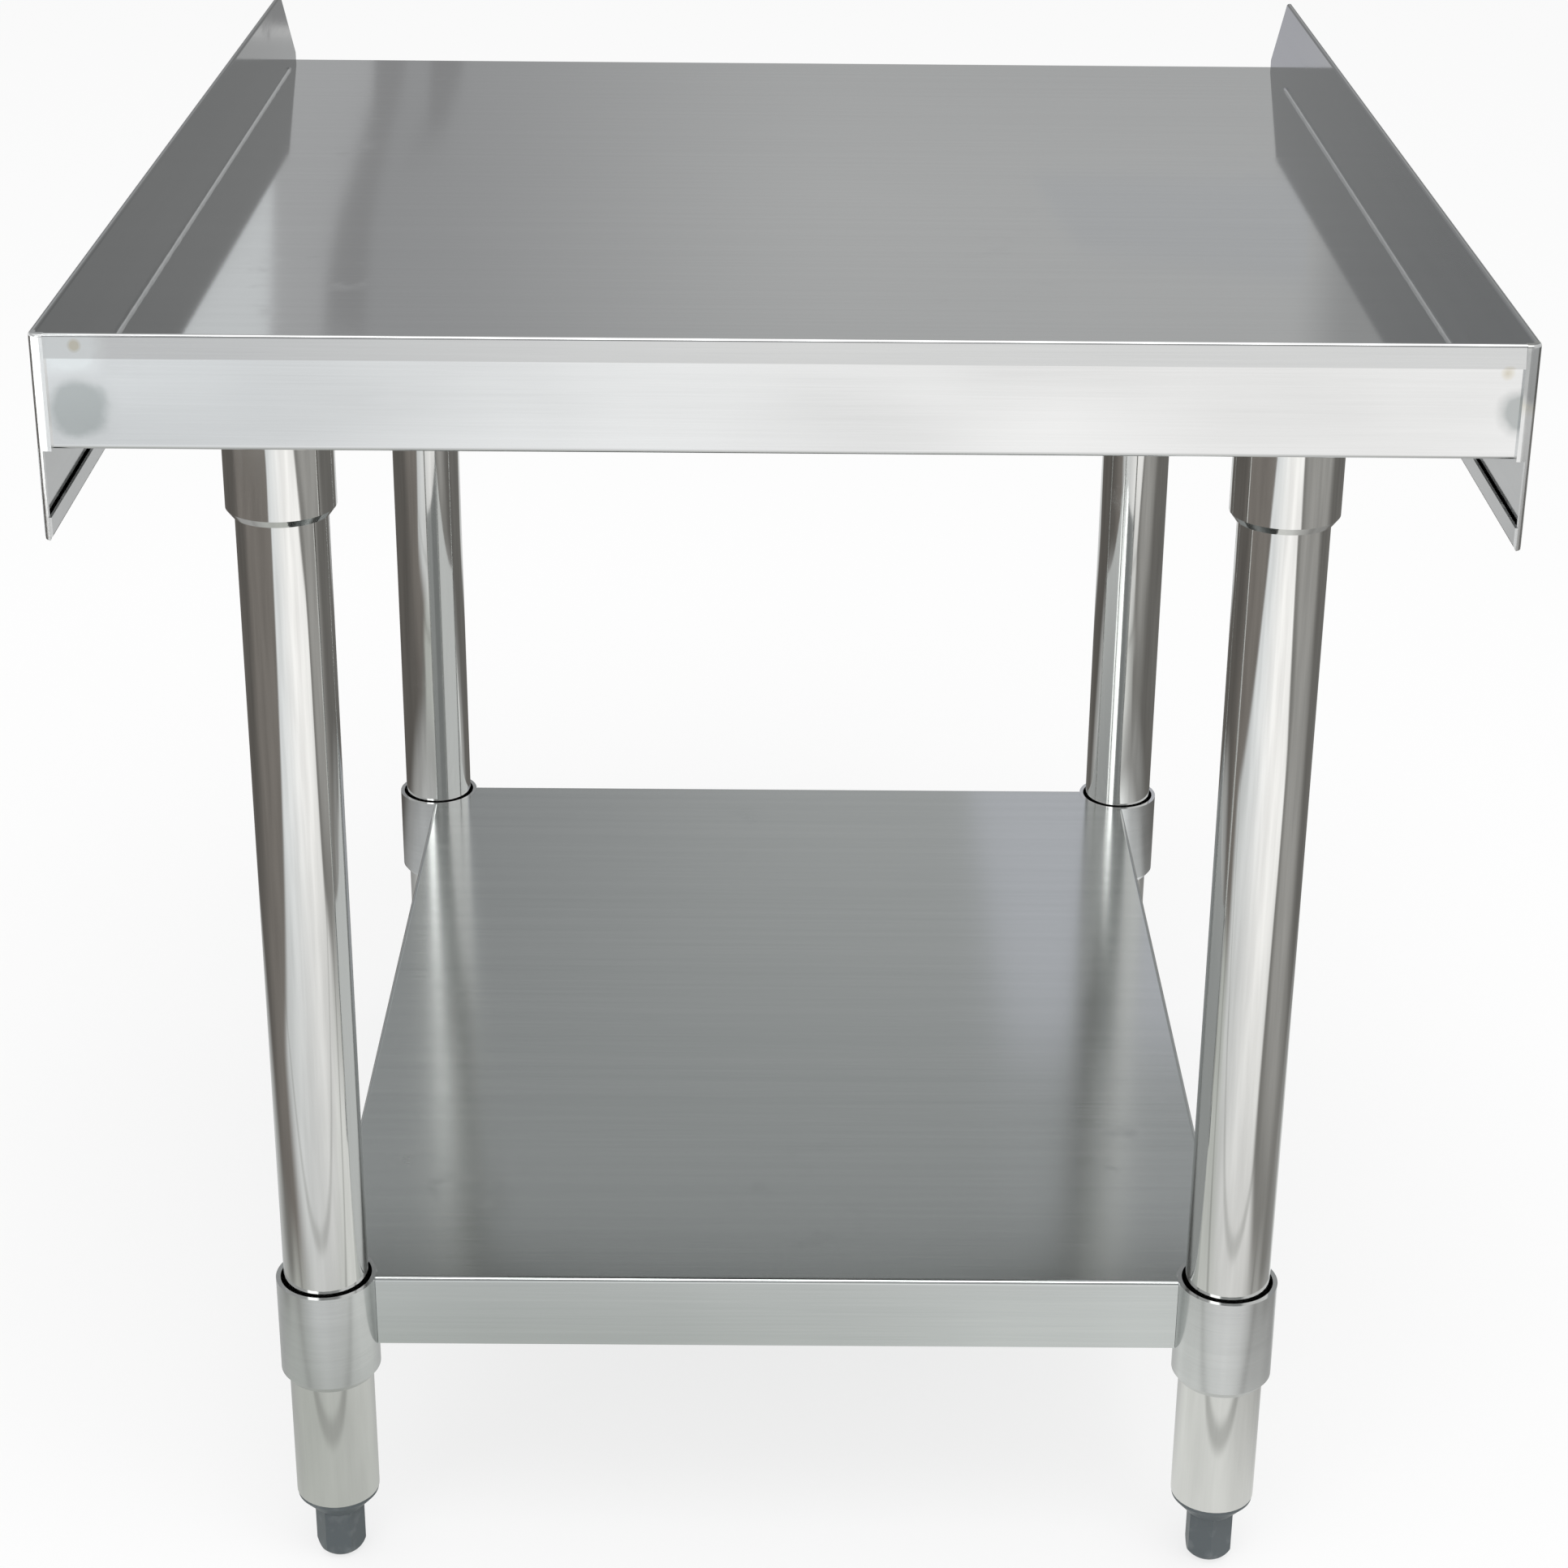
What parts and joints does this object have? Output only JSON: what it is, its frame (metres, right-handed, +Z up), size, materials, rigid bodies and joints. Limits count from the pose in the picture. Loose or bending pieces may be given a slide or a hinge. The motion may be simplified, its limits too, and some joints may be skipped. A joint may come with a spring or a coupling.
{
  "type": "stainless work table",
  "caption": "Low stainless work table with a wall on three sides of its top, round legs on screw feet and a height-adjustable undershelf.",
  "frame": {"origin": "on the ground under the middle of the worktop, with the feet screwed fully in", "axes": "+Z up, -Y towards the rear wall, +Y towards the open front edge, +X to the right as seen from the rear wall"},
  "size_m": [0.61, 0.762, 0.666],
  "materials": {
    "satin_sheet": "fine satin, reflective",
    "ground_weld": "ground smooth",
    "shelf_steel": "satin",
    "channel_steel": "dull mill finish",
    "polished_tube": "polished",
    "socket_steel": "satin, swaged tube",
    "screw_steel": "plain steel",
    "foot_plastic": "moulded slate grey"
  },
  "bodies": {
    "frame": {"worktop_sheet": "satin_sheet", "left_side_rail": "satin_sheet", "right_side_rail": "satin_sheet", "rear_corner_welds": "ground_weld", "rear_cross_channel": "channel_steel", "front_cross_channel": "channel_steel", "upper_set_screws": "screw_steel", "insert_nuts": "screw_steel", "rear_left_upper_socket": "polished_tube", "rear_left_leg": "polished_tube", "rear_left_leg_insert": "foot_plastic", "rear_right_upper_socket": "polished_tube", "rear_right_leg": "polished_tube", "rear_right_leg_insert": "foot_plastic", "front_left_upper_socket": "polished_tube", "front_left_leg": "polished_tube", "front_left_leg_insert": "foot_plastic", "front_right_upper_socket": "polished_tube", "front_right_leg": "polished_tube", "front_right_leg_insert": "foot_plastic"},
    "undershelf": {"shelf_sheet": "shelf_steel", "shelf_channel": "channel_steel", "shelf_set_screws": "screw_steel", "rear_left_shelf_socket": "socket_steel", "rear_right_shelf_socket": "socket_steel", "front_left_shelf_socket": "socket_steel", "front_right_shelf_socket": "socket_steel"},
    "rear_left_screw_foot": {"rear_left_foot": "foot_plastic", "rear_left_foot_stud": "screw_steel"},
    "rear_right_screw_foot": {"rear_right_foot": "foot_plastic", "rear_right_foot_stud": "screw_steel"},
    "front_left_screw_foot": {"front_left_foot": "foot_plastic", "front_left_foot_stud": "screw_steel"},
    "front_right_screw_foot": {"front_right_foot": "foot_plastic", "front_right_foot_stud": "screw_steel"}
  },
  "joints": [
    {"name": "undershelf_height", "type": "slide", "parent": "frame", "child": "undershelf", "axis": [0, 0, 1], "range_m": [-0.06, 0.393]},
    {"name": "rear_left_foot_screw", "type": "slide", "parent": "frame", "child": "rear_left_screw_foot", "axis": [0, 0, -1], "range_m": [0, 0.025]},
    {"name": "rear_right_foot_screw", "type": "slide", "parent": "frame", "child": "rear_right_screw_foot", "axis": [0, 0, -1], "range_m": [0, 0.025]},
    {"name": "front_left_foot_screw", "type": "slide", "parent": "frame", "child": "front_left_screw_foot", "axis": [0, 0, -1], "range_m": [0, 0.025]},
    {"name": "front_right_foot_screw", "type": "slide", "parent": "frame", "child": "front_right_screw_foot", "axis": [0, 0, -1], "range_m": [0, 0.025]}
  ]
}
